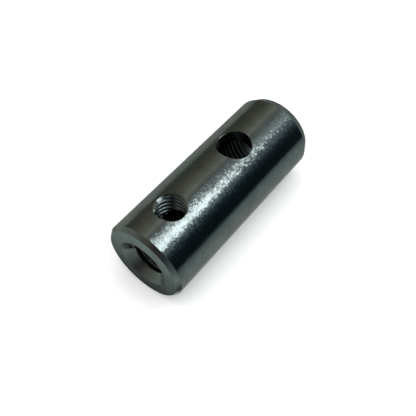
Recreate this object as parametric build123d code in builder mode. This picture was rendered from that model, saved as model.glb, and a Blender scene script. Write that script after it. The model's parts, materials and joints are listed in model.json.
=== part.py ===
"""Rigid sleeve coupling: one turned steel sleeve that joins two threaded rods, and its set screw.

Millimetres. The barrel's axis is X, with the small thread's mouth at -X and the large one's at +X.
Z points up through the two cross holes. The origin is on the barrel's axis, half way along it.
Tapped walls are drawn plain, at their tap drill's size.
"""

import os
from math import radians, tan

from build123d import *

# Barrel
BARREL_DIAMETER = 16.0
BARREL_LENGTH = 40.0
FRONT_CHAMFER_RADIAL = 0.6
FRONT_CHAMFER_AXIAL = 0.8
REAR_CHAMFER_RADIAL = 0.8
REAR_CHAMFER_AXIAL = 1.6

# Where the two threads meet, measured from the middle of the barrel
STEP_X = 0.0

# Front thread, M8 x 1.25, from a 90 degree countersink at its mouth to the step
FRONT_TAP_DRILL = 6.8
FRONT_COUNTERSINK_DIAMETER = 9.8

# Rear thread, M12 x 1, behind a smooth relief, with a small chamfer at the mouth
REAR_TAP_DRILL = 11.0
REAR_RELIEF_DIAMETER = 12.2
REAR_RELIEF_DEPTH = 4.8
REAR_MOUTH_CHAMFER = 0.3
DRILL_POINT_HALF_ANGLE = 59.0

# Cross holes, both on the +Z line: M6 x 1 through both walls, and a plain hole through the upper one
CROSS_TAP_DRILL = 5.0
CROSS_TAP_FROM_FRONT = 8.0
CROSS_TAP_RIM_CHAMFER = 0.45
PIN_HOLE_DIAMETER = 6.6
PIN_HOLE_FROM_REAR = 14.3

# Set screw, M6 x 4 with a cup point and a 3 mm socket, drawn plain at a running fit in its tap drill's hole
SCREW_LENGTH = 4.0
SCREW_CLEARANCE = 0.05
SCREW_END_CHAMFER = 0.4
SCREW_CUP_DIAMETER = 3.0
SCREW_CUP_HALF_ANGLE = 60.0
SCREW_SOCKET_WIDTH = 3.0
SCREW_SOCKET_DEPTH = 2.0
SCREW_BELOW_BORE = 0.1

# Worked out from the sizes above
BARREL_RADIUS = BARREL_DIAMETER / 2
FRONT_X = -BARREL_LENGTH / 2
REAR_X = BARREL_LENGTH / 2
FRONT_FACE_RADIUS = BARREL_RADIUS - FRONT_CHAMFER_RADIAL
REAR_FACE_RADIUS = BARREL_RADIUS - REAR_CHAMFER_RADIAL
FRONT_RADIUS = FRONT_TAP_DRILL / 2
FRONT_MOUTH_RADIUS = FRONT_COUNTERSINK_DIAMETER / 2
FRONT_MOUTH_DEPTH = FRONT_MOUTH_RADIUS - FRONT_RADIUS
REAR_RADIUS = REAR_TAP_DRILL / 2
RELIEF_RADIUS = REAR_RELIEF_DIAMETER / 2
STEP_LENGTH = (REAR_RADIUS - FRONT_RADIUS) / tan(radians(DRILL_POINT_HALF_ANGLE))
RELIEF_X = REAR_X - REAR_RELIEF_DEPTH
RELIEF_CONE = RELIEF_RADIUS - REAR_RADIUS
CROSS_TAP_X = FRONT_X + CROSS_TAP_FROM_FRONT
CROSS_TAP_RADIUS = CROSS_TAP_DRILL / 2
PIN_HOLE_X = REAR_X - PIN_HOLE_FROM_REAR
SCREW_RADIUS = CROSS_TAP_RADIUS - SCREW_CLEARANCE
SCREW_TIP_Z = -(FRONT_RADIUS + SCREW_BELOW_BORE)
SCREW_TOP_Z = SCREW_TIP_Z - SCREW_LENGTH
CUP_RADIUS = SCREW_CUP_DIAMETER / 2
CUP_DEPTH = CUP_RADIUS / tan(radians(SCREW_CUP_HALF_ANGLE))

os.makedirs("parts", exist_ok=True)


def save(piece, label):
    """Label a finished piece and write it to its own STEP file."""
    piece.label = label
    export_step(piece, f"parts/{label}.step")


# Sleeve: half its lengthwise section, turned about the barrel's axis, then cross drilled
with BuildPart() as sleeve:
    with BuildSketch(Plane.XZ):
        with BuildLine():
            Polyline(
                (FRONT_X, FRONT_MOUTH_RADIUS),
                (FRONT_X, FRONT_FACE_RADIUS),
                (FRONT_X + FRONT_CHAMFER_AXIAL, BARREL_RADIUS),
                (REAR_X - REAR_CHAMFER_AXIAL, BARREL_RADIUS),
                (REAR_X, REAR_FACE_RADIUS),
                (REAR_X, RELIEF_RADIUS + REAR_MOUTH_CHAMFER),
                (REAR_X - REAR_MOUTH_CHAMFER, RELIEF_RADIUS),
                (RELIEF_X, RELIEF_RADIUS),
                (RELIEF_X - RELIEF_CONE, REAR_RADIUS),
                (STEP_X + STEP_LENGTH, REAR_RADIUS),
                (STEP_X, FRONT_RADIUS),
                (FRONT_X + FRONT_MOUTH_DEPTH, FRONT_RADIUS),
                close=True,
            )
        make_face()
    revolve(axis=Axis.X)

    with BuildSketch(Plane.XY.offset(-BARREL_RADIUS)):
        with Locations((CROSS_TAP_X, 0)):
            Circle(CROSS_TAP_RADIUS)
    extrude(amount=BARREL_DIAMETER, mode=Mode.SUBTRACT)

    # The tapped hole's rims, above and below, are broken at 45 degrees along the barrel's curve
    hole_edges = sleeve.edges().filter_by(lambda edge: abs(edge.center().X - CROSS_TAP_X) < CROSS_TAP_RADIUS)
    chamfer(hole_edges.group_by(Axis.Z)[-1] + hole_edges.group_by(Axis.Z)[0], CROSS_TAP_RIM_CHAMFER)

    with BuildSketch(Plane.XY):
        with Locations((PIN_HOLE_X, 0)):
            Circle(PIN_HOLE_DIAMETER / 2)
    extrude(amount=BARREL_DIAMETER, mode=Mode.SUBTRACT)

save(sleeve.part, "sleeve")

# Set screw: in the lower wall of the tapped cross hole, cup point up and socket down
with BuildPart() as set_screw:
    with BuildSketch(Plane.XZ.shift_origin((CROSS_TAP_X, 0, 0))):
        with BuildLine():
            Polyline(
                (0, SCREW_TOP_Z),
                (SCREW_RADIUS - SCREW_END_CHAMFER, SCREW_TOP_Z),
                (SCREW_RADIUS, SCREW_TOP_Z + SCREW_END_CHAMFER),
                (SCREW_RADIUS, SCREW_TIP_Z - (SCREW_RADIUS - CUP_RADIUS)),
                (CUP_RADIUS, SCREW_TIP_Z),
                (0, SCREW_TIP_Z - CUP_DEPTH),
                close=True,
            )
        make_face()
    revolve(axis=Axis((CROSS_TAP_X, 0, 0), (0, 0, 1)))

    with BuildSketch(Plane.XY.offset(SCREW_TOP_Z)):
        with Locations((CROSS_TAP_X, 0)):
            RegularPolygon(SCREW_SOCKET_WIDTH / 2, 6, major_radius=False)
    extrude(amount=SCREW_SOCKET_DEPTH, mode=Mode.SUBTRACT)

save(set_screw.part, "set_screw")
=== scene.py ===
import json
import math

import bpy
import numpy as np
from mathutils import Matrix, Vector


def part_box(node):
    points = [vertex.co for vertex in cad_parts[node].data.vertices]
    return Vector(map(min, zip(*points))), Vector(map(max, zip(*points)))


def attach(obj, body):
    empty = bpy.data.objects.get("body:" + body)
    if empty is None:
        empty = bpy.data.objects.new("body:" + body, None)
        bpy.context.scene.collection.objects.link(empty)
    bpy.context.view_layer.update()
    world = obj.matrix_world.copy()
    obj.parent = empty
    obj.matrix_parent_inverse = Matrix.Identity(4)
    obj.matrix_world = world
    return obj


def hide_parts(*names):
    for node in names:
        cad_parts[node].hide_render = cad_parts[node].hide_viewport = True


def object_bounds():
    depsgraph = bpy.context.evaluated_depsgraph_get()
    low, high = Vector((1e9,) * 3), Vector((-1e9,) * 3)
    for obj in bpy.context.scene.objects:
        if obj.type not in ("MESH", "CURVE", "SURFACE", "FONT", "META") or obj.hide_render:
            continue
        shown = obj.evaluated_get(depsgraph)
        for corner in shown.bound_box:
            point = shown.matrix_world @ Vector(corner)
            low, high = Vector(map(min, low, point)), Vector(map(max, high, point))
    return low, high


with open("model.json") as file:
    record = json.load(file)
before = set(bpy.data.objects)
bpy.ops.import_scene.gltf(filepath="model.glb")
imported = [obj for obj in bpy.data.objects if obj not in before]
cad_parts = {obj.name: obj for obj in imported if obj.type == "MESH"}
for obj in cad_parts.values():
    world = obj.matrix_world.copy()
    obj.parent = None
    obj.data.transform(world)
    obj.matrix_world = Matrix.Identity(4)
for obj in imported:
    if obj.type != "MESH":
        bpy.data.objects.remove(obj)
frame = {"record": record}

# The mesh code works in millimetres; toMetres brings a finished piece to metres.
millimetre = 0.001
cadLow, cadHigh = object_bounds()
sleeveLow, sleeveHigh = (np.array(corner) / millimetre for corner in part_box("sleeve"))
screwLow, screwHigh = (np.array(corner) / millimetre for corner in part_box("set_screw"))
frontX, rearX, barrelRadius = sleeveLow[0], sleeveHigh[0], sleeveHigh[2]
mounts = {mount["name"]: mount for mount in frame["record"]["mounts"]}


def holeRadius(name):
    return mounts[name]["dims"]["r_mm"]


def linear(hexColour):
    # sRGB hex to the linear colour that shaders take
    parts = [int(hexColour[i:i + 2], 16) / 255 for i in (1, 3, 5)]
    return [p / 12.92 if p <= 0.04045 else ((p + 0.055) / 1.055) ** 2.4 for p in parts] + [1.0]


def addNode(tree, kind, settings=None, links=None):
    # a settings key in small letters is the node's own, and any other names a socket
    node = tree.nodes.new(kind)
    for key, value in (settings or {}).items():
        if isinstance(key, str) and key[0].islower():
            setattr(node, key, value)
        else:
            node.inputs[key].default_value = value
    for key, source in (links or {}).items():
        tree.links.new(source, node.inputs[key])
    return node


def addRamp(tree, source, stops, low, high):
    # a ramp over a source that runs from 0 to 1; stops are (place between low and high, hex colour or level)
    ramp = addNode(tree, "ShaderNodeValToRGB", links={"Fac": source})
    elements = ramp.color_ramp.elements
    while len(elements) < len(stops):
        elements.new(0.5)
    for element, (place, shade) in zip(elements, stops):
        element.position = (place - low) / (high - low)
        element.color = linear(shade) if isinstance(shade, str) else [shade] * 3 + [1.0]
    return ramp.outputs["Color"]


# camera
cameraPlace = {
    "aim": (-4.42, -1.93, 1.03),  # mm
    "azimuth": -51.25,            # degrees round the object, 0 looks along +Y
    "elevation": 53.43,
    "roll": -0.92,
    "distance": 107.0,            # mm
    "lens": 51.4,                 # mm, on this sensor
    "sensor": 36.0,
    "nearest": 5.0,               # mm, nothing nearer is drawn
}


def makeCamera(place):
    azimuth, elevation = math.radians(place["azimuth"]), math.radians(place["elevation"])
    back = Vector((math.sin(azimuth) * math.cos(elevation),
                   -math.cos(azimuth) * math.cos(elevation),
                   math.sin(elevation)))
    camera = bpy.data.objects.new("camera", bpy.data.cameras.new("camera"))
    camera.data.lens = place["lens"]
    camera.data.sensor_width = place["sensor"]
    camera.data.clip_start = place["nearest"] * millimetre
    turn = back.to_track_quat("Z", "Y").to_matrix() @ Matrix.Rotation(math.radians(place["roll"]), 3, "Z")
    spot = (Vector(place["aim"]) + back * place["distance"]) * millimetre
    camera.matrix_world = Matrix.Translation(spot) @ turn.to_4x4()
    bpy.context.scene.collection.objects.link(camera)
    bpy.context.scene.camera = camera


makeCamera(cameraPlace)
print("camera placed")


# floor and light
studio = {
    "floorSize": 3.0,             # m
    "floorColour": "#F4F4F3",
    "floorRoughness": 0.9,
    "floorSpecular": 0.1,
    "fillPower": 34.0,            # W
    "fillSize": 2.4,              # m
    "fillSpot": (-0.1, -0.15, 0.85),  # m
    "softBoxStrength": 1.35,
    "softBoxColour": "#F0FBFC",
    "backdropColour": "#0C1012",
    "backdropWidth": (13.0, 18.0),    # degrees off the camera's line where the patch starts and stops fading
    # a glowing card seen only in the steel: a painted reflection of the floor, with painted shadow next to
    # the front end
    "flagColours": ("#2C312F", "#535A56", "#6A746F", "#77827E"),
    "flagReach": 6.0,                 # mm off the front end
    "flagHalfWidth": 30.0,            # mm to each side
    "flagLift": 0.05,                 # mm above the floor
}

# What the steel reflects is a plain grey room with a soft box overhead. Each row is an angle about
# the barrel's axis, in degrees from straight up towards -Y, and the room's colour there.
roomStops = [
    (-180, "#8F918F"), (-167, "#B6B7B5"), (-152, "#BEBFBD"), (-141, "#949592"), (-131, "#7A7D79"),
    (-120, "#6E726D"), (-110, "#727671"), (-96, "#6C726D"), (-87, "#5E6460"), (-81, "#3C403B"),
    (-68, "#404039"), (-48, "#4A4B43"), (-28, "#62635A"), (-17, "#75766E"), (-8, "#585D5C"),
    (4, "#606868"), (44, "#4C5A60"), (56, "#273237"), (68, "#10191D"), (99, "#0C1518"),
    (105, "#4E5858"), (114, "#626C6C"), (136, "#717977"), (160, "#777C79"), (172, "#7E817F"),
    (180, "#8F918F"),
]
# the room beyond the front end, where the bench lies bare
benchStops = [
    (-180, "#70807F"), (-153, "#77847F"), (-115, "#7A7F78"), (-74, "#646A65"), (-38, "#5A5D58"),
    (10, "#6A7070"), (46, "#6C7476"), (95, "#565E5E"), (110, "#646C6A"), (139, "#848D89"), (180, "#70807F"),
]
# the same, low and far along the bench, where the room is darker
shadeStops = [
    (-180, "#5C6462"), (-90, "#666B64"), (-60, "#5C5E58"), (-37, "#585752"), (0, "#433F3D"), (15, "#363234"),
    (60, "#323638"), (90, "#4A504F"), (120, "#666E6B"), (180, "#5C6462"),
]
# the far wall, beyond the rear end
wallStops = [(-180, "#5E6663"), (0, "#666C69"), (180, "#5E6663")]
# each stretch of the room, with the shares of a direction that lie along -X where it starts and is full
roomParts = [
    (roomStops, None, None),
    (benchStops, -0.05, 0.25),
    (shadeStops, 0.55, 0.72),
    (wallStops, -0.68, -0.76),
]
# the soft box and the light that spills from it: brightness over the angle, then along +X
softBoxes = [
    ([(-5, 0.0), (6, 0.04), (14, 0.13), (20, 0.5), (25, 1.0), (35, 1.0), (38, 0.3), (43, 0.05), (56, 0.0)],
     [(-0.1, 0.0), (0.1, 0.7), (0.36, 1.0), (0.5, 0.97), (0.54, 0.34), (0.58, 0.06), (0.64, 0.0)]),
    ([(-4, 0.0), (1, 0.22), (8, 0.5), (18, 0.65), (27, 0.2), (36, 0.08), (44, 0.0)],
     [(-0.1, 0.0), (0.1, 0.7), (0.40, 1.0), (0.46, 0.0)]),
    ([(2, 0.0), (12, 0.06), (24, 0.13), (29, 0.06), (33, 0.0)],
     [(0.52, 0.0), (0.56, 1.0), (0.66, 1.0), (0.74, 0.0)]),
]


def makeFloor(settings):
    half = settings["floorSize"] / 2
    level = cadLow.z
    corners = [(-half, -half, level), (half, -half, level), (half, half, level), (-half, half, level)]
    mesh = bpy.data.meshes.new("floor")
    mesh.from_pydata(corners, [], [(0, 1, 2, 3)])
    floor = bpy.data.objects.new("floor", mesh)
    bpy.context.scene.collection.objects.link(floor)
    paper = bpy.data.materials.new("mattePaper")
    paper.use_nodes = True
    shader = paper.node_tree.nodes["Principled BSDF"]
    shader.inputs["Base Color"].default_value = linear(settings["floorColour"])
    shader.inputs["Roughness"].default_value = settings["floorRoughness"]
    shader.inputs["Specular IOR Level"].default_value = settings["floorSpecular"]
    mesh.materials.append(paper)
    floor.visible_glossy = False      # the steel reflects the room's greys instead


def makeFill(settings):
    lamp = bpy.data.lights.new("fill", "AREA")
    lamp.shape = "SQUARE"
    lamp.size = settings["fillSize"]
    lamp.energy = settings["fillPower"]
    fill = bpy.data.objects.new("fill", lamp)
    spot = Vector(settings["fillSpot"])
    fill.matrix_world = Matrix.Translation(spot) @ spot.to_track_quat("Z", "Y").to_matrix().to_4x4()
    fill.visible_glossy = False       # lights the floor without showing in the steel
    bpy.context.scene.collection.objects.link(fill)


def makeRoom(settings):
    world = bpy.data.worlds.new("room")
    bpy.context.scene.world = world
    world.use_nodes = True
    tree = world.node_tree
    direction = addNode(tree, "ShaderNodeTexCoord").outputs["Generated"]
    parts = addNode(tree, "ShaderNodeSeparateXYZ", links={0: direction}).outputs
    aside = addNode(tree, "ShaderNodeMath", {"operation": "MULTIPLY", 1: -1.0}, {0: parts["Y"]})
    angle = addNode(tree, "ShaderNodeMath", {"operation": "ARCTAN2"}, {0: aside.outputs[0], 1: parts["Z"]})
    turn = addNode(tree, "ShaderNodeMapRange", {"From Min": -math.pi, "From Max": math.pi},
                   {"Value": angle.outputs[0]}).outputs["Result"]
    along = addNode(tree, "ShaderNodeMapRange", {"From Min": -1.0, "From Max": 1.0},
                    {"Value": parts["X"]}).outputs["Result"]
    room = None
    for stops, start, full in roomParts:
        shade = addRamp(tree, turn, stops, -180, 180)
        if room:
            share = addNode(tree, "ShaderNodeMapRange", {"From Min": -start, "From Max": -full},
                            {"Value": parts["X"]})
            shade = addNode(tree, "ShaderNodeMix", {"data_type": "RGBA"},
                            {"Factor": share.outputs["Result"], "A": room, "B": shade}).outputs["Result"]
        room = shade
    glow = [level * settings["softBoxStrength"] for level in linear(settings["softBoxColour"])[:3]]
    for across, lengthwise in softBoxes:
        box = addNode(tree, "ShaderNodeVectorMath", {"operation": "MULTIPLY"},
                      {0: addRamp(tree, turn, across, -180, 180), 1: addRamp(tree, along, lengthwise, -1, 1)})
        room = addNode(tree, "ShaderNodeVectorMath", {"operation": "MULTIPLY_ADD", 1: glow},
                       {0: box.outputs["Vector"], 2: room}).outputs["Vector"]
    # a dark patch behind the camera, which blackens the threads' flanks that face it
    toCamera = bpy.context.scene.camera.matrix_world.translation.normalized()
    facing = addNode(tree, "ShaderNodeVectorMath", {"operation": "DOT_PRODUCT", 1: toCamera}, {0: direction})
    inside, outside = (math.cos(math.radians(width)) for width in settings["backdropWidth"])
    share = addNode(tree, "ShaderNodeMapRange", {"From Min": outside, "From Max": inside},
                    {"Value": facing.outputs["Value"]})
    room = addNode(tree, "ShaderNodeMix", {"data_type": "RGBA", "B": linear(settings["backdropColour"])},
                   {"Factor": share.outputs["Result"], "A": room}).outputs["Result"]
    tree.links.new(room, tree.nodes["Background"].inputs["Color"])


def makeShadeReflection(settings):
    # a card lying on the floor off the front end that only the steel sees: its glow is a painted reflection
    # of the floor, with painted shadow darkest where it meets the steel
    reach = settings["flagReach"] * millimetre
    level = cadLow.z + settings["flagLift"] * millimetre
    side = settings["flagHalfWidth"] * millimetre
    edges = np.linspace(0, 1, len(settings["flagColours"]))
    points = [(cadLow.x - share * reach, y, level) for share in edges for y in (-side, side)]
    faces = [(2 * i, 2 * i + 1, 2 * i + 3, 2 * i + 2) for i in range(len(edges) - 1)]
    mesh = bpy.data.meshes.new("flag")
    mesh.from_pydata(points, [], faces)
    shadeReflectionMaterial = bpy.data.materials.new("flagCloth")
    shadeReflectionMaterial.use_nodes = True
    tree = shadeReflectionMaterial.node_tree
    tree.nodes.remove(tree.nodes["Principled BSDF"])
    place = addNode(tree, "ShaderNodeTexCoord").outputs["Object"]
    parts = addNode(tree, "ShaderNodeSeparateXYZ", links={0: place}).outputs
    share = addNode(tree, "ShaderNodeMapRange", {"From Min": cadLow.x, "From Max": cadLow.x - reach},
                    {"Value": parts["X"]}).outputs["Result"]
    # painted shadow: the glow is darkest next to the steel and lighter further off
    colour = addRamp(tree, share, list(zip(edges, settings["flagColours"])), 0, 1)
    glow = addNode(tree, "ShaderNodeEmission", links={"Color": colour})
    tree.links.new(glow.outputs["Emission"], tree.nodes["Material Output"].inputs["Surface"])
    mesh.materials.append(shadeReflectionMaterial)
    flag = bpy.data.objects.new("flag", mesh)
    bpy.context.scene.collection.objects.link(flag)
    for kind in ("camera", "diffuse", "shadow", "transmission", "volume_scatter"):
        setattr(flag, "visible_" + kind, False)


makeFloor(studio)
makeFill(studio)
makeRoom(studio)
makeShadeReflection(studio)
bpy.context.scene.view_settings.view_transform = "Standard"
print("floor and light made")


# mesh code
sharpAngle = math.radians(38)


def angles(count, turn=0.0):
    return np.arange(count) * (2 * np.pi / count) + turn


def aroundX(along, radius, angle):
    # a turned surface about the barrel's axis: (x, r cos a, r sin a)
    along, radius, angle = np.broadcast_arrays(along, radius, angle)
    return np.stack([along, radius * np.cos(angle), radius * np.sin(angle)], axis=-1)


def aroundZ(height, radius, angle, centreX):
    # a turned surface about an upright line: (cx + r cos a, r sin a, z)
    height, radius, angle = np.broadcast_arrays(height, radius, angle)
    return np.stack([centreX + radius * np.cos(angle), radius * np.sin(angle), height], axis=-1)


def addMesh(name, points, faces):
    mesh = bpy.data.meshes.new(name)
    mesh.from_pydata(points.tolist(), [], faces)
    mesh.update()
    piece = bpy.data.objects.new(name, mesh)
    bpy.context.scene.collection.objects.link(piece)
    return piece


def ringSolid(name, rings):
    # rings[i, j] is ring i's point at angle j: quads join neighbouring rings, and a fan about the
    # ring's middle closes each end
    count, around = rings.shape[:2]
    points = np.concatenate([rings.reshape(-1, 3), [rings[0].mean(axis=0), rings[-1].mean(axis=0)]])
    ring, spoke = np.meshgrid(np.arange(count - 1), np.arange(around), indexing="ij")
    after = (spoke + 1) % around
    quads = np.stack([ring * around + spoke, ring * around + after,
                      (ring + 1) * around + after, (ring + 1) * around + spoke], axis=-1).reshape(-1, 4)
    edge = np.arange(around)
    following = (edge + 1) % around
    last = (count - 1) * around
    startFan = np.stack([following, edge, np.full(around, count * around)], axis=-1)
    endFan = np.stack([last + edge, last + following, np.full(around, count * around + 1)], axis=-1)
    return addMesh(name, points, quads.tolist() + startFan.tolist() + endFan.tolist())


def threadWave(share):
    # depth of a 60 degree thread's groove at a share of its pitch, 0 at the middle of the land and 1
    # at the groove's: a flat land, a quarter pitch wide, slightly bowed flanks and a narrow flat
    halfLand, flankWidth, bow = 0.125, 0.333, 0.1
    away = np.abs((share + 0.5) % 1.0 - 0.5)
    flank = np.clip((away - halfLand) / flankWidth, 0.0, 1.0)
    return flank - bow * np.sin(2 * np.pi * flank) / np.pi


def threadSolid(name, start, end, pitch, rows, around, turn, radiusAt, wrap):
    # one right-hand strip wound about an axis: row i's point in column j lies at
    # start + (i / rows + j / around) * pitch, so a row follows the thread, and at the seam it meets
    # the row one pitch on. radiusAt(along, wave, angle) is the radius there, wrap(along, radius,
    # angle) places it, and turn is the first column's angle.
    count = int(round((end - start) / pitch - 1) * rows) + 1
    row, column = np.meshgrid(np.arange(count), np.arange(around), indexing="ij")
    angle = column * (2 * np.pi / around) + turn
    along = start + (row / rows + column / around) * pitch
    grid = wrap(along, radiusAt(along, threadWave(row / rows), angle), angle)
    number = row * around + column
    quads = np.stack([number[:-1, :-1], number[:-1, 1:], number[1:, 1:], number[1:, :-1]], axis=-1)
    seam = np.stack([number[:-1 - rows, -1], number[rows:-1, 0],
                     number[rows + 1:, 0], number[1:-rows, -1]], axis=-1)
    startLoop = np.concatenate([number[0], number[rows:0:-1, 0]])
    endLoop = np.concatenate([number[-1], number[-2:-2 - rows:-1, -1]])
    poles = np.stack([grid.reshape(-1, 3)[loop].mean(axis=0) for loop in (startLoop, endLoop)])
    points = np.concatenate([grid.reshape(-1, 3), poles])
    startFan = np.stack([np.roll(startLoop, -1), startLoop,
                         np.full(len(startLoop), len(points) - 2)], axis=-1)
    endFan = np.stack([endLoop, np.roll(endLoop, -1),
                       np.full(len(endLoop), len(points) - 1)], axis=-1)
    faces = quads.reshape(-1, 4).tolist() + seam.tolist() + startFan.tolist() + endFan.tolist()
    return addMesh(name, points, faces)


def roundCorner(before, corner, after, radius, steps):
    # the arc that touches both sides of a corner: it turns about its centre at an even rate, from the
    # point where it touches the first side to the one where it touches the second
    before, corner, after = (np.array(p, float) for p in (before, corner, after))
    first = (before - corner) / np.linalg.norm(before - corner)
    second = (after - corner) / np.linalg.norm(after - corner)
    half = np.arccos(np.clip(first @ second, -1, 1)) / 2
    middle = (first + second) / np.linalg.norm(first + second)
    centre = corner + middle * radius / np.sin(half)
    start = corner + first * radius / np.tan(half) - centre
    end = corner + second * radius / np.tan(half) - centre
    sweep = np.pi - 2 * half
    share = np.linspace(0, 1, steps)[:, None]
    return centre + (np.sin((1 - share) * sweep) * start + np.sin(share * sweep) * end) / np.sin(sweep)


def toMetres(piece):
    piece.data.transform(Matrix.Scale(millimetre, 4))


def cutAway(piece, cutters):
    for cutter in cutters:
        cut = piece.modifiers.new(cutter.name, "BOOLEAN")
        cut.operation = "DIFFERENCE"
        cut.solver = "EXACT"
        cut.object = cutter
    graph = bpy.context.evaluated_depsgraph_get()
    finished = bpy.data.meshes.new_from_object(piece.evaluated_get(graph))
    piece.modifiers.clear()
    piece.data = finished
    for cutter in cutters:
        bpy.data.objects.remove(cutter)


# sleeve
sleeve = {
    "frontChamfer": (0.6, 0.8),                     # mm, radial and along the barrel; all lengths are mm
    "rearChamfer": (0.8, 1.6),
    "edgeRadius": 0.07, "edgeSteps": 4,
    "around": 192, "barrelStep": 0.8,
    "capRadius": 2.0,                               # of each end face's inmost ring, inside the bores
    "frontMajor": 8.0, "frontPitch": 1.25, "frontPhase": 0.75, "countersink": 9.8,
    "rearMajor": 12.0, "rearPitch": 1.0, "rearPhase": 0.2, "mouthChamfer": 0.3,
    "stepX": 0.0, "drillHalfAngle": 59.0, "runOut": 2.0,
    "frontPastStep": 1.0, "rearBeforeStep": 1.6,    # how far the two threads' cutters overlap the step
    "coneOverlap": 0.4, "reliefOverlap": 0.2,       # how far the cones go on inwards: mm, and a share
    "tappedMajor": 6.0, "tappedPitch": 1.0, "tappedPhase": 0.0, "tappedRim": 0.45,
    "tappedLand": 0.1, "tappedFade": 0.2,
    "pinRim": 0.04,
    "rimInside": 0.3, "rimOutside": 0.6,            # how far a rim's cone goes on past the chamfer
    "frontLand": 0.9, "rearLand": 1.0,              # how far in the plate is whole at each end
    "threadRows": 12, "threadAround": 96,
    "overrun": 1.0,                                 # how far a cutter reaches past the barrel
    # radians that the cutters' grids are turned by, so that none of their edges lie along another's
    "threadTurn": 0.013, "rimTurn": 0.031, "boreTurn": 0.047,
}
tappedX = mounts["set_screw_thread"]["pos_m"][0] / millimetre
pinX = mounts["pin_hole"]["pos_m"][0] / millimetre


def barrelSolid(sizes):
    # the barrel's outline, with its corners rounded, turned about the barrel's axis
    (frontRadial, frontAxial), (rearRadial, rearAxial) = sizes["frontChamfer"], sizes["rearChamfer"]
    frontFace, rearFace = barrelRadius - frontRadial, barrelRadius - rearRadial
    corners = [(frontX, 0), (frontX, frontFace), (frontX + frontAxial, barrelRadius),
               (rearX - rearAxial, barrelRadius), (rearX, rearFace), (rearX, 0)]
    first = frontX + frontAxial + sizes["edgeRadius"]
    last = rearX - rearAxial - sizes["edgeRadius"]
    side = np.linspace(first, last, int((last - first) / sizes["barrelStep"]))
    profile = np.concatenate([
        [(frontX, sizes["capRadius"])],
        roundCorner(*corners[0:3], sizes["edgeRadius"], sizes["edgeSteps"]),
        roundCorner(*corners[1:4], sizes["edgeRadius"], sizes["edgeSteps"]),
        np.stack([side, np.full(len(side), barrelRadius)], axis=-1),
        roundCorner(*corners[2:5], sizes["edgeRadius"], sizes["edgeSteps"]),
        roundCorner(*corners[3:6], sizes["edgeRadius"], sizes["edgeSteps"]),
        [(rearX, sizes["capRadius"])],
    ])
    angle = angles(sizes["around"])[None, :]
    return ringSolid("turned_sleeve", aroundX(profile[:, :1], profile[:, 1:], angle))


def turnedCutter(name, profile, sizes):
    # a profile of (x, radius) points turned about the barrel's axis
    profile = np.array(profile, float)
    angle = angles(sizes["threadAround"], sizes["boreTurn"])[None, :]
    return ringSolid(name, aroundX(profile[:, :1], profile[:, 1:], angle))


def boreCutters(sizes):
    # the two threads, the front countersink, and the rear relief with its mouth chamfer
    frontDrill, rearDrill, relief = (holeRadius(n) for n in ("front_thread", "rear_thread", "rear_socket"))
    reliefX = rearX - sizes["mouthChamfer"] - mounts["rear_socket"]["dims"]["length_mm"]
    beyond = sizes["overrun"]

    def frontRadius(along, wave, angle):
        return frontDrill + (sizes["frontMajor"] / 2 - frontDrill) * wave

    def rearRadius(along, wave, angle):
        # the thread grows out of the drilled wall over one pitch, past the drill's own point
        depth = np.clip((along - sizes["stepX"] - sizes["runOut"]) / sizes["rearPitch"], 0, 1)
        drillPoint = frontDrill + (along - sizes["stepX"]) * np.tan(np.radians(sizes["drillHalfAngle"]))
        return np.minimum(drillPoint, rearDrill + (sizes["rearMajor"] / 2 - rearDrill) * wave * depth)

    pitches = int((sizes["stepX"] - frontX + 2 * beyond) / sizes["frontPitch"])
    frontEnd = sizes["stepX"] + sizes["frontPastStep"] + sizes["frontPhase"]
    frontStart = frontEnd - pitches * sizes["frontPitch"]
    rearStart = sizes["stepX"] - sizes["rearBeforeStep"] + sizes["rearPhase"]
    rearTurns = np.ceil((reliefX + 2 * beyond - rearStart) / sizes["rearPitch"])
    mouth = sizes["countersink"] / 2
    coneDepth = mouth - frontDrill + sizes["coneOverlap"]
    reliefCone = (relief - rearDrill) * (1 + sizes["reliefOverlap"])
    return [
        threadSolid("frontThread", frontStart, frontEnd + sizes["frontPitch"], sizes["frontPitch"],
                    sizes["threadRows"], sizes["threadAround"], sizes["threadTurn"], frontRadius, aroundX),
        threadSolid("rearThread", rearStart, rearStart + rearTurns * sizes["rearPitch"], sizes["rearPitch"],
                    sizes["threadRows"], sizes["threadAround"], 2 * sizes["threadTurn"], rearRadius, aroundX),
        turnedCutter("countersink", [(frontX - beyond, mouth + beyond), (frontX, mouth),
                                     (frontX + coneDepth, mouth - coneDepth)], sizes),
        turnedCutter("relief", [(reliefX - reliefCone, relief - reliefCone),
                                (reliefX, relief), (rearX - sizes["mouthChamfer"], relief),
                                (rearX + beyond, relief + sizes["mouthChamfer"] + beyond)], sizes),
    ]


def skinHeight(radius, angle):
    # how high the barrel's skin stands over a point of an upright hole's wall
    return np.sqrt(barrelRadius ** 2 - (radius * np.sin(angle)) ** 2)


def rimCutter(name, centreX, drill, chamfer, side, sizes):
    # a 45 degree cone that follows the barrel's curve: its height at r is the skin's there, less the
    # chamfer, plus r less the drill's radius
    grow = np.array([-sizes["rimInside"], 0.0, chamfer, chamfer + sizes["rimOutside"]])[:, None]
    angle = angles(sizes["threadAround"], sizes["rimTurn"])[None, :]
    height = skinHeight(drill + grow, angle) - chamfer + grow
    rings = aroundZ(height, drill + grow, angle, centreX)
    if side < 0:
        rings = (rings * [1, 1, -1])[:, ::-1]
    return ringSolid(name, rings)


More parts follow.
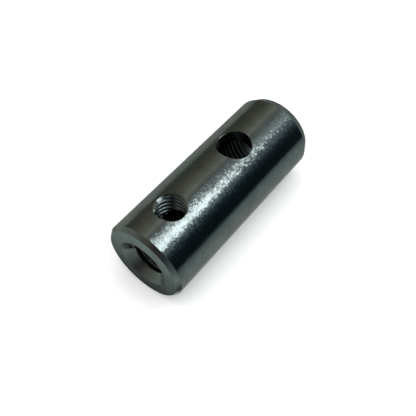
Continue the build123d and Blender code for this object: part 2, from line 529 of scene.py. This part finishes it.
def crossCutters(sizes):
    # the thread through both walls with its two rims, and the plain hole with its rim
    tapDrill, pinDrill = holeRadius("set_screw_thread"), holeRadius("pin_hole")

    def tappedRadius(along, wave, angle):
        # the grooves run out through the chamfer, and stop just short of its outer edge
        buried = skinHeight(tapDrill + sizes["tappedRim"], angle) - np.abs(along)
        depth = np.clip((buried - sizes["tappedLand"]) / sizes["tappedFade"], 0, 1)
        return tapDrill + (sizes["tappedMajor"] / 2 - tapDrill) * wave * depth

    def aboutTapped(height, radius, angle):
        return aroundZ(height, radius, angle, tappedX)

    reach = barrelRadius + sizes["overrun"]
    angle = angles(sizes["threadAround"], sizes["threadTurn"])[None, :]
    wall = aroundZ(np.array([[0.0], [reach]]), pinDrill, angle, pinX)
    start = sizes["tappedPhase"] - reach - sizes["tappedPitch"]
    turns = np.ceil(2 * reach / sizes["tappedPitch"] + 2)
    return [
        threadSolid("tappedThread", start, start + turns * sizes["tappedPitch"], sizes["tappedPitch"],
                    sizes["threadRows"], sizes["threadAround"], sizes["threadTurn"],
                    tappedRadius, aboutTapped),
        rimCutter("upperRim", tappedX, tapDrill, sizes["tappedRim"], 1, sizes),
        rimCutter("lowerRim", tappedX, tapDrill, sizes["tappedRim"], -1, sizes),
        ringSolid("pinHole", wall),
        rimCutter("pinRim", pinX, pinDrill, sizes["pinRim"], 1, sizes),
    ]


def readVectors(source, key, width, kind=np.float32):
    values = np.empty(len(source) * width, kind)
    source.foreach_get(key, values)
    return values.reshape(-1, width) if width > 1 else values


def trueNormals(mesh, sizes):
    # Blender's corner normals, but exact ones on the outside: there a normal keeps its face's share
    # along the axis, and the rest of it points straight out from the axis
    onSkinSlack, straightOut = 0.01, 0.99           # mm, and a face's least share of straight out
    mouthSlack, endLengths = 0.05, (1.5, 2.0)       # mm
    smallestArea, mostSideways, flatShare = 0.03, 0.03, 0.01
    mesh.shade_smooth()
    mesh.set_sharp_from_angle(angle=sharpAngle)
    corner = readVectors(mesh.corner_normals, "vector", 3)
    vertex = readVectors(mesh.loops, "vertex_index", 1, np.int32)
    place = readVectors(mesh.vertices, "co", 3)[vertex] / millimetre
    sides = readVectors(mesh.polygons, "loop_total", 1, np.int32)
    faceNormal = np.repeat(readVectors(mesh.polygons, "normal", 3), sides, axis=0)
    area = np.repeat(readVectors(mesh.polygons, "area", 1), sides) / millimetre ** 2
    distance = np.hypot(place[:, 1], place[:, 2])
    outward = place * [0, 1, 1] / np.maximum(distance, 1e-6)[:, None]
    inPlane = (faceNormal * outward).sum(axis=1)
    sideways = np.abs(faceNormal[:, 1] * outward[:, 2] - faceNormal[:, 2] * outward[:, 1])
    onSkin = (distance > barrelRadius - onSkinSlack) & (inPlane > straightOut)
    onEnd = (place[:, 0] < frontX + endLengths[0]) | (place[:, 0] > rearX - endLengths[1])
    onEnd &= (distance > sizes["countersink"] / 2 - mouthSlack) & (area > smallestArea)
    onEnd &= sideways < mostSideways
    exact = onSkin | onEnd
    lengthwise = faceNormal[:, :1] * (np.abs(faceNormal[:, :1]) > flatShare)
    across = np.sign(inPlane)[:, None] * np.sqrt(np.clip(1 - lengthwise ** 2, 0, 1))
    turned = lengthwise * [1, 0, 0] + outward * across
    corner[exact] = turned[exact]
    mesh.normals_split_custom_set(corner.tolist())


def markBareAndShade(mesh, sizes):
    # how bare the plate is, partly real thin plating and partly painted shade in the hollows: 0 on the
    # outside, darker deeper into the bore, and 1 in the threads' grooves and the pin hole's wall
    slack, tappedSlack, pinSlack = 0.05, 0.02, 0.01     # mm
    lipHeight, lipFade, crestFade = 0.12, 0.15, 2.0     # mm
    crestBareAndShade, leastTapped = 0.55, 0.1
    place = readVectors(mesh.vertices, "co", 3) / millimetre
    radius = np.hypot(place[:, 1], place[:, 2])
    tapped = np.hypot(place[:, 0] - tappedX, place[:, 1])
    pin = np.hypot(place[:, 0] - pinX, place[:, 1])
    names = ("front_thread", "rear_thread", "rear_socket", "set_screw_thread", "pin_hole")
    frontDrill, rearDrill, relief, tapDrill, pinDrill = (holeRadius(name) for name in names)
    drill = np.where(place[:, 0] < sizes["stepX"], frontDrill, rearDrill)
    major = np.where(place[:, 0] < sizes["stepX"], sizes["frontMajor"], sizes["rearMajor"]) / 2
    past = np.minimum(place[:, 0] - frontX - sizes["frontLand"], rearX - sizes["rearLand"] - place[:, 0])
    inBore = (radius < major + slack) | (radius < relief + slack) & (place[:, 0] > pinX)
    inBore &= past > 0
    boreBareAndShade = np.maximum(crestBareAndShade * np.clip(past / crestFade, 0, 1),
                          np.clip((radius - drill) / (major - drill), 0, 1))
    tappedDeep = sizes["tappedMajor"] / 2
    inTapped = (tapped < tappedDeep + tappedSlack) & (radius > frontDrill + slack)
    inTapped &= radius < barrelRadius - lipHeight
    tappedBareAndShade = inTapped * np.clip((tapped - tapDrill) / (tappedDeep - tapDrill), leastTapped, 1)
    inPin = (pin < pinDrill + pinSlack) & (radius > rearDrill) & (place[:, 2] > 0)
    pinBareAndShade = inPin * np.clip((barrelRadius - radius - slack) / lipFade, 0, 1)
    # the depth ramps and groove masks paint shade into the hollows on top of the thin plating
    bare = np.maximum(np.maximum(inBore * boreBareAndShade, tappedBareAndShade), pinBareAndShade)
    mesh.attributes.new("bare", "FLOAT", "POINT").data.foreach_set("value", bare.astype(np.float32))


def makeSleeve(sizes):
    piece = barrelSolid(sizes)
    cutAway(piece, boreCutters(sizes) + crossCutters(sizes))
    toMetres(piece)
    trueNormals(piece.data, sizes)
    markBareAndShade(piece.data, sizes)
    return piece


# set screw
screw = {
    "major": 5.88, "minor": 4.86, "pitch": 1.0,     # mm
    "endChamfer": 0.55, "cupDiameter": 3.0, "cupDepth": 0.8,
    "socketWidth": 3.0, "socketDepth": 2.0, "socketChamfer": 0.2, "socketCorner": 0.05, "drillPoint": 0.35,
    "around": 96, "rows": 14,
}


def makeScrew(sizes):
    # rings run from the socket's floor, down its wall, out over the end, up the shank and into the cup;
    # the shank's radius is the least of the thread's, the end chamfer's and the point's
    angle = angles(sizes["around"])[None, :]
    sixth = np.pi / 3
    hexagon = sizes["socketWidth"] / 2 / np.cos((angle + sixth / 2) % sixth - sixth / 2)
    low, high = screwLow[2], screwHigh[2]
    floor = low + sizes["socketDepth"]
    tipShare, floorShare = 0.05, 0.97               # of the hexagon's size
    socket = [(floor + sizes["drillPoint"], hexagon * tipShare), (floor, hexagon * floorShare),
              (floor - sizes["socketCorner"], hexagon), (low + sizes["socketChamfer"], hexagon),
              (low, hexagon + sizes["socketChamfer"])]
    height = np.linspace(low, high, int((high - low) / sizes["pitch"] * sizes["rows"]))[:, None]
    wound = (height - high) / sizes["pitch"] - angle / (2 * np.pi)
    thread = sizes["minor"] / 2 + (sizes["major"] - sizes["minor"]) / 2 * threadWave(wound)
    chamfered = sizes["major"] / 2 - sizes["endChamfer"] + (height - low)
    pointed = sizes["cupDiameter"] / 2 + (high - height)
    shank = np.minimum(thread, np.minimum(chamfered, pointed))
    cup = [(high - sizes["cupDepth"] * share, sizes["cupDiameter"] / 2 * (1 - share)) for share in (0.5, 0.9)]
    rings = [aroundZ(h, r, angle, tappedX) for h, r in socket]
    rings += [aroundZ(height, shank, angle, tappedX)]
    rings += [aroundZ(h, r, angle, tappedX) for h, r in cup]
    piece = ringSolid("cup_point_screw", np.concatenate(rings))
    toMetres(piece)
    piece.data.shade_smooth()
    piece.data.set_sharp_from_angle(angle=sharpAngle)
    return piece


# Bright zinc plate on cold-drawn steel: a cool white metal, near mirror, with a frosty grain that sparkles
# where a highlight ends, faint die lines along the bar, and dull, thinly plated holes and thread roots
# darkened further with painted shade.
zincPlate = {
    # the darkest colour is thinly plated steel together with painted shade in the holes and grooves
    "light": "#D2D7D6", "dull": "#BCC3C1", "bare": "#343C3D",
    "roughness": 0.10, "dullRoughness": 0.16, "bareRoughness": 0.4,
    "patchWidth": 2.5,      # mm
    "patchEdges": (0.35, 0.65),
    "patchDetail": 4.0, "patchRoughness": 0.6,
    "grainWidth": 0.3,      # mm; real grain is finer, and drawn this coarse so that it shows
    "grainTilt": 0.085,     # how far a grain leans, as a slope
    "grainEverywhere": 0.12,
    "grainAngle": 30.0,     # the strip where the plate is frostiest, degrees from straight up towards -Y
    "grainHalfWidth": 24.0,
    "grainFullShare": 0.6,  # of that half width, where the grain is at its strongest
    "grainSmoothness": 0.35,
    "lineSpacing": 0.25,    # mm, between die lines
    "lineTilt": 0.012,
    "lineDetail": 2.0,
    "lineStretch": 0.03,    # a die line's width over its length
}


def zincMaterial(finish):
    material = bpy.data.materials.new("zincPlatedDrawnSteel")
    material.use_nodes = True
    tree = material.node_tree
    shader = tree.nodes["Principled BSDF"]
    shader.inputs["Metallic"].default_value = 1.0
    place = addNode(tree, "ShaderNodeTexCoord").outputs["Object"]
    inMm = addNode(tree, "ShaderNodeVectorMath", {"operation": "SCALE", "Scale": 1 / millimetre}, {0: place})
    inMm = inMm.outputs["Vector"]
    parts = addNode(tree, "ShaderNodeSeparateXYZ", links={0: inMm}).outputs
    bare = addNode(tree, "ShaderNodeAttribute", {"attribute_name": "bare"}).outputs["Fac"]

    # duller patches, and bare steel with painted shade in the holes, deeper in the bore and in the roots of
    # threads
    patch = addNode(tree, "ShaderNodeTexNoise",
                    {"Scale": 1 / finish["patchWidth"], "Detail": finish["patchDetail"],
                     "Roughness": finish["patchRoughness"]},
                    {"Vector": inMm})
    fromEdge, toEdge = finish["patchEdges"]
    patch = addNode(tree, "ShaderNodeMapRange", {"From Min": fromEdge, "From Max": toEdge},
                    {"Value": patch.outputs["Fac"]})
    plate = addNode(tree, "ShaderNodeMix",
                    {"data_type": "RGBA", "A": linear(finish["light"]), "B": linear(finish["dull"])},
                    {"Factor": patch.outputs["Result"]})
    colour = addNode(tree, "ShaderNodeMix", {"data_type": "RGBA", "B": linear(finish["bare"])},
                     {"Factor": bare, "A": plate.outputs["Result"]})
    tree.links.new(colour.outputs["Result"], shader.inputs["Base Color"])
    rough = addNode(tree, "ShaderNodeMapRange",
                    {"To Min": finish["roughness"], "To Max": finish["dullRoughness"]},
                    {"Value": patch.outputs["Result"]})
    rougher = addNode(tree, "ShaderNodeMix", {"data_type": "FLOAT", "B": finish["bareRoughness"]},
                      {"Factor": bare, "A": rough.outputs["Result"]})
    tree.links.new(rougher.outputs["Result"], shader.inputs["Roughness"])

    # grain: each small cell leans its own way, most of all along one strip of the barrel
    aside = addNode(tree, "ShaderNodeMath", {"operation": "MULTIPLY", 1: -1.0}, {0: parts["Y"]})
    angle = addNode(tree, "ShaderNodeMath", {"operation": "ARCTAN2"}, {0: aside.outputs[0], 1: parts["Z"]})
    stripMiddle = math.radians(finish["grainAngle"])
    fromStrip = addNode(tree, "ShaderNodeMath", {"operation": "SUBTRACT", 1: stripMiddle},
                        {0: angle.outputs[0]})
    fromStrip = addNode(tree, "ShaderNodeMath", {"operation": "ABSOLUTE"}, {0: fromStrip.outputs[0]})
    width = math.radians(finish["grainHalfWidth"])
    fullWidth = width * finish["grainFullShare"]
    weakest = finish["grainEverywhere"] * finish["grainTilt"]
    strip = addNode(tree, "ShaderNodeMapRange",
                    {"interpolation_type": "SMOOTHSTEP", "From Min": width, "From Max": fullWidth,
                     "To Min": weakest, "To Max": finish["grainTilt"]},
                    {"Value": fromStrip.outputs[0]})
    cells = addNode(tree, "ShaderNodeTexVoronoi", {"feature": "SMOOTH_F1", "Scale": 1 / finish["grainWidth"],
                                                   "Smoothness": finish["grainSmoothness"]}, {"Vector": inMm})
    lean = addNode(tree, "ShaderNodeVectorMath", {"operation": "SUBTRACT", 1: (0.5, 0.5, 0.5)},
                   {0: cells.outputs["Color"]})
    lean = addNode(tree, "ShaderNodeVectorMath", {"operation": "SCALE"},
                   {0: lean.outputs["Vector"], "Scale": strip.outputs["Result"]})
    # die lines: a noise drawn out along the bar
    stretch = (finish["lineStretch"], 1.0, 1.0)
    drawn = addNode(tree, "ShaderNodeVectorMath", {"operation": "MULTIPLY", 1: stretch}, {0: inMm})
    lines = addNode(tree, "ShaderNodeTexNoise",
                    {"Scale": 1 / finish["lineSpacing"], "Detail": finish["lineDetail"]},
                    {"Vector": drawn.outputs["Vector"]})
    sway = addNode(tree, "ShaderNodeVectorMath", {"operation": "SUBTRACT", 1: (0.5, 0.5, 0.5)},
                   {0: lines.outputs["Color"]})
    sway = addNode(tree, "ShaderNodeVectorMath", {"operation": "SCALE", "Scale": finish["lineTilt"] * 2},
                   {0: sway.outputs["Vector"]})
    normal = addNode(tree, "ShaderNodeNewGeometry").outputs["Normal"]
    for push in (lean, sway):
        pushed = addNode(tree, "ShaderNodeVectorMath", {"operation": "ADD"},
                         {0: normal, 1: push.outputs["Vector"]})
        normal = pushed.outputs["Vector"]
    normal = addNode(tree, "ShaderNodeVectorMath", {"operation": "NORMALIZE"}, {0: normal})
    tree.links.new(normal.outputs["Vector"], shader.inputs["Normal"])
    return material


# Black oxide on a cold-headed screw: near-black and satin, mottled with worn grey.
blackOxide = {"deep": "#17171A", "worn": "#3A3A3C", "roughness": 0.36, "grainWidth": 0.3, "grainDetail": 4.0}


def oxideMaterial(finish):
    material = bpy.data.materials.new("blackOxideSteel")
    material.use_nodes = True
    tree = material.node_tree
    shader = tree.nodes["Principled BSDF"]
    shader.inputs["Metallic"].default_value = 1.0
    shader.inputs["Roughness"].default_value = finish["roughness"]
    place = addNode(tree, "ShaderNodeTexCoord").outputs["Object"]
    inMm = addNode(tree, "ShaderNodeVectorMath", {"operation": "SCALE", "Scale": 1 / millimetre}, {0: place})
    grain = addNode(tree, "ShaderNodeTexNoise",
                    {"Scale": 1 / finish["grainWidth"], "Detail": finish["grainDetail"]},
                    {"Vector": inMm.outputs["Vector"]})
    colour = addNode(tree, "ShaderNodeMix",
                     {"data_type": "RGBA", "A": linear(finish["deep"]), "B": linear(finish["worn"])},
                     {"Factor": grain.outputs["Fac"]})
    tree.links.new(colour.outputs["Result"], shader.inputs["Base Color"])
    return material


sleevePiece = makeSleeve(sleeve)
sleevePiece.data.materials.clear()
sleevePiece.data.materials.append(zincMaterial(zincPlate))
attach(sleevePiece, "sleeve")
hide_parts("sleeve")
print("sleeve made:", len(sleevePiece.data.polygons), "faces,",
      sum(len(p.vertices) - 2 for p in sleevePiece.data.polygons), "triangles")

screwPiece = makeScrew(screw)
screwPiece.data.materials.append(oxideMaterial(blackOxide))
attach(screwPiece, "set_screw")
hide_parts("set_screw")
print("set screw made:", len(screwPiece.data.polygons), "faces")
